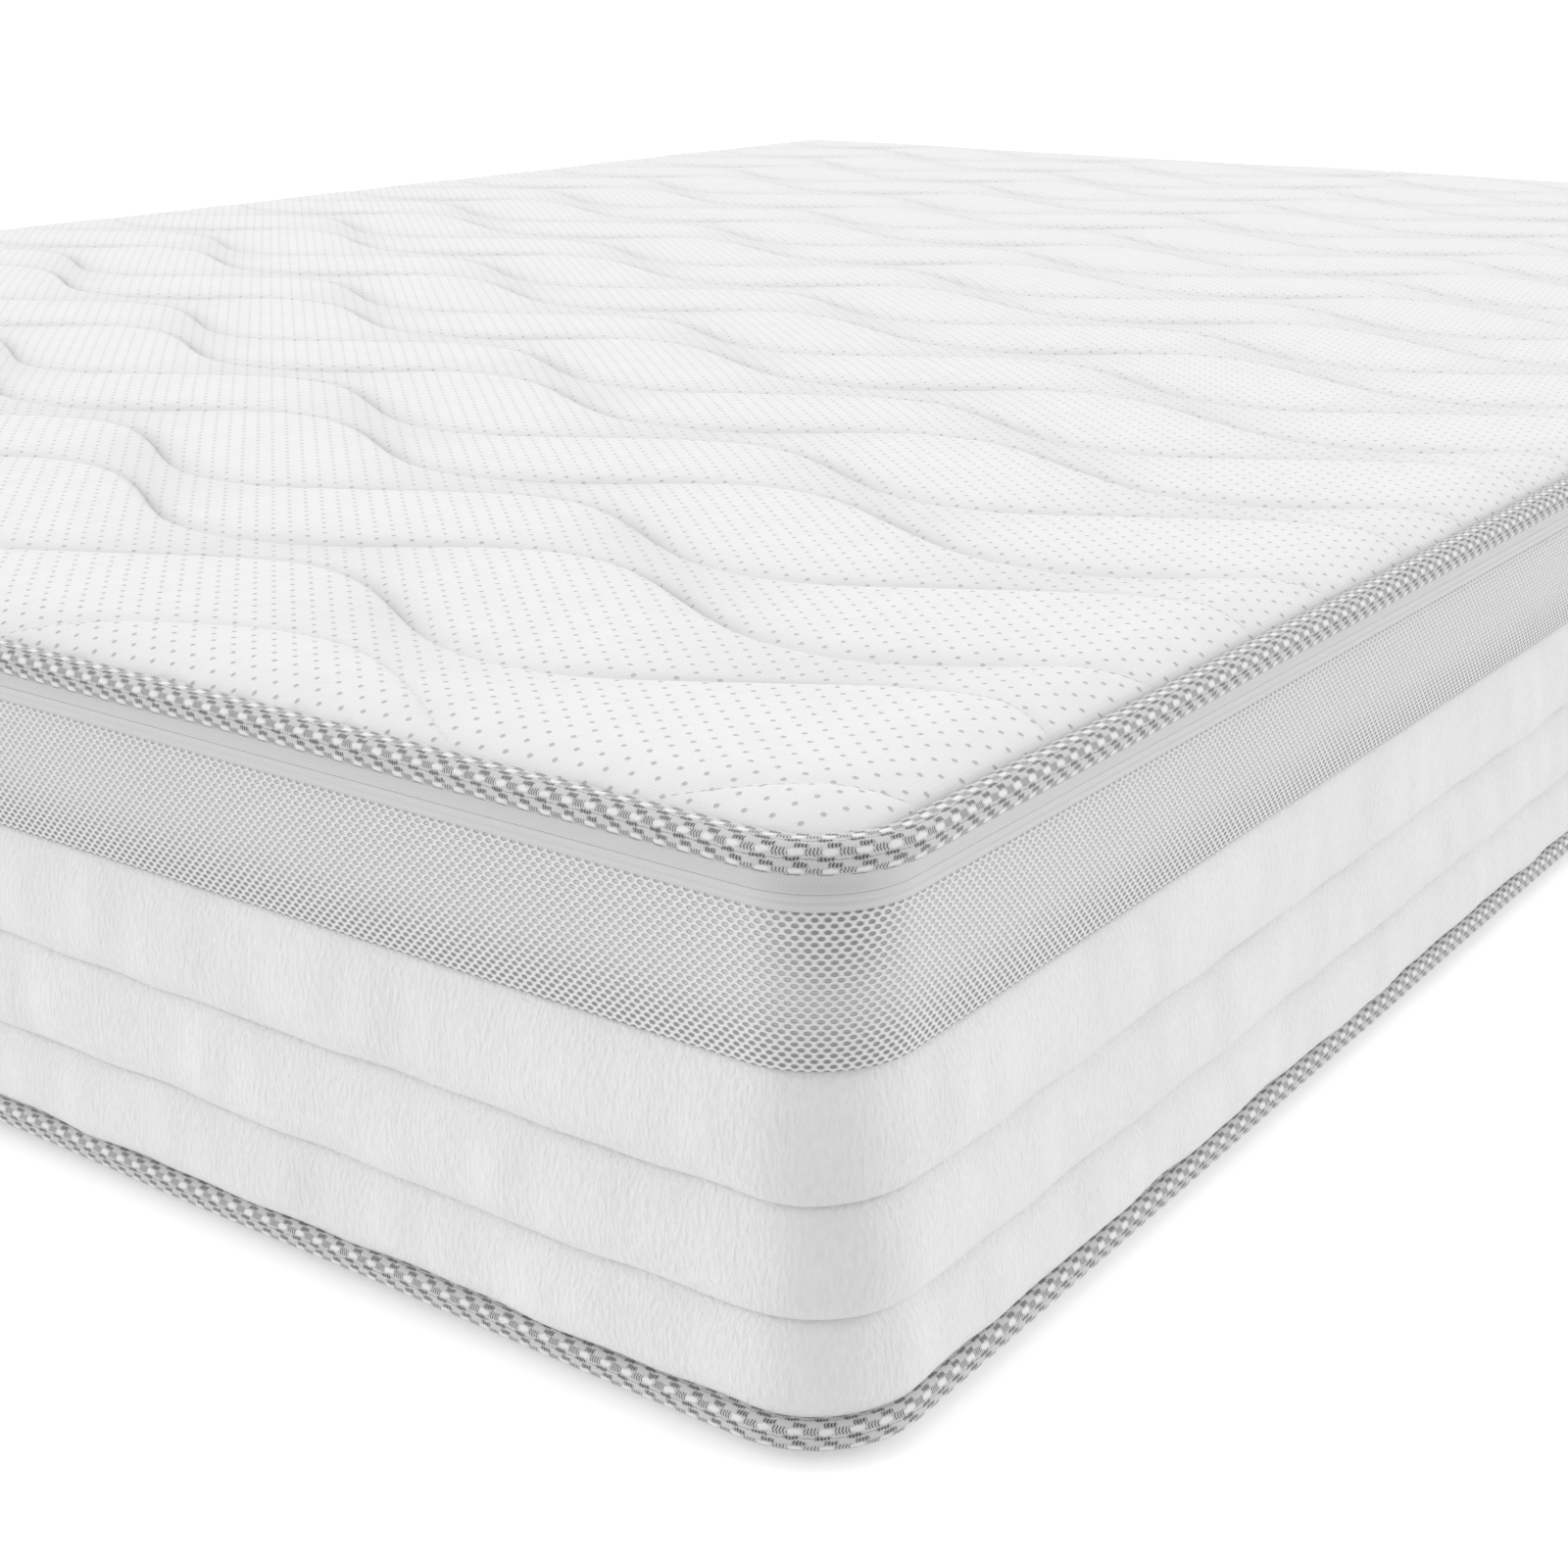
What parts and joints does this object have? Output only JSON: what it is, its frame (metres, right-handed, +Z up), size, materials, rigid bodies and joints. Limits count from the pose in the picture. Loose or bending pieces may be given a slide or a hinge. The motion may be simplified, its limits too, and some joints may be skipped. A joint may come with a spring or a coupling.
{
  "type": "memory foam mattress",
  "caption": "Double memory foam mattress with a quilted zip-off top, a mesh band, a padded velour border with sewn channels and woven edge tapes.",
  "frame": {"origin": "centre of the underside, on the surface that the mattress lies on", "axes": "+Z up, +Y along the length towards the head end, +X across the width"},
  "size_m": [1.36, 1.9109, 0.2],
  "materials": {
    "knit_white": "white circular knit with small grey dimples",
    "edge_tape": "white and grey jacquard webbing",
    "zip_white": "white woven zip tape",
    "zip_coil": "moulded nylon monofilament",
    "zip_metal": "white enamelled zinc",
    "mesh_grey": "pale grey knitted spacer mesh",
    "velour_white": "white brushed velour",
    "fibre_wadding": "white polyester fibre wadding",
    "nonwoven": "white spunbonded backing",
    "thread_white": "white polyester sewing thread",
    "label_satin": "white woven satin label, blank",
    "base_cloth": "off-white woven base cloth",
    "stockinette": "white tubular stockinette",
    "foam_base": "open-cell support foam, pale grey",
    "foam_comfort": "open-cell comfort foam, white",
    "foam_memory": "viscoelastic foam, cream"
  },
  "bodies": {
    "base": {"base_foam": "foam_base", "comfort_foam": "foam_comfort", "memory_foam": "foam_memory", "inner_sleeve": "stockinette", "bottom_panel": "base_cloth", "bottom_tape": "edge_tape", "border_velour": "velour_white", "border_wadding": "fibre_wadding", "border_backing": "nonwoven", "seam_threads": "thread_white", "mesh_border": "mesh_grey", "care_label": "label_satin", "zip_tape_lower": "zip_white", "zip_coil_lower": "zip_coil", "zip_stop_start": "zip_metal", "zip_stop_end": "zip_metal"},
    "top_cover": {"top_knit": "knit_white", "top_wadding": "fibre_wadding", "top_backing": "nonwoven", "top_tape": "edge_tape", "zip_tape_upper": "zip_white", "zip_coil_upper": "zip_coil"},
    "zip_slider": {"zip_slider_body": "zip_metal"},
    "zip_pull": {"zip_pull_tab": "zip_metal"}
  },
  "joints": [
    {"name": "cover_lift", "type": "slide", "parent": "base", "child": "top_cover", "axis": [0, 0, 1], "range_m": [0, 0.3]},
    {"name": "zip_slide", "type": "slide", "parent": "base", "child": "zip_slider", "axis": [1, 0, 0], "range_m": [0, 1.12]},
    {"name": "pull_swing", "type": "hinge", "parent": "zip_slider", "child": "zip_pull", "pos_m": [-0.56, 0.9534, 0.1786], "axis": [1, 0, 0], "range_deg": [0, 150]}
  ]
}
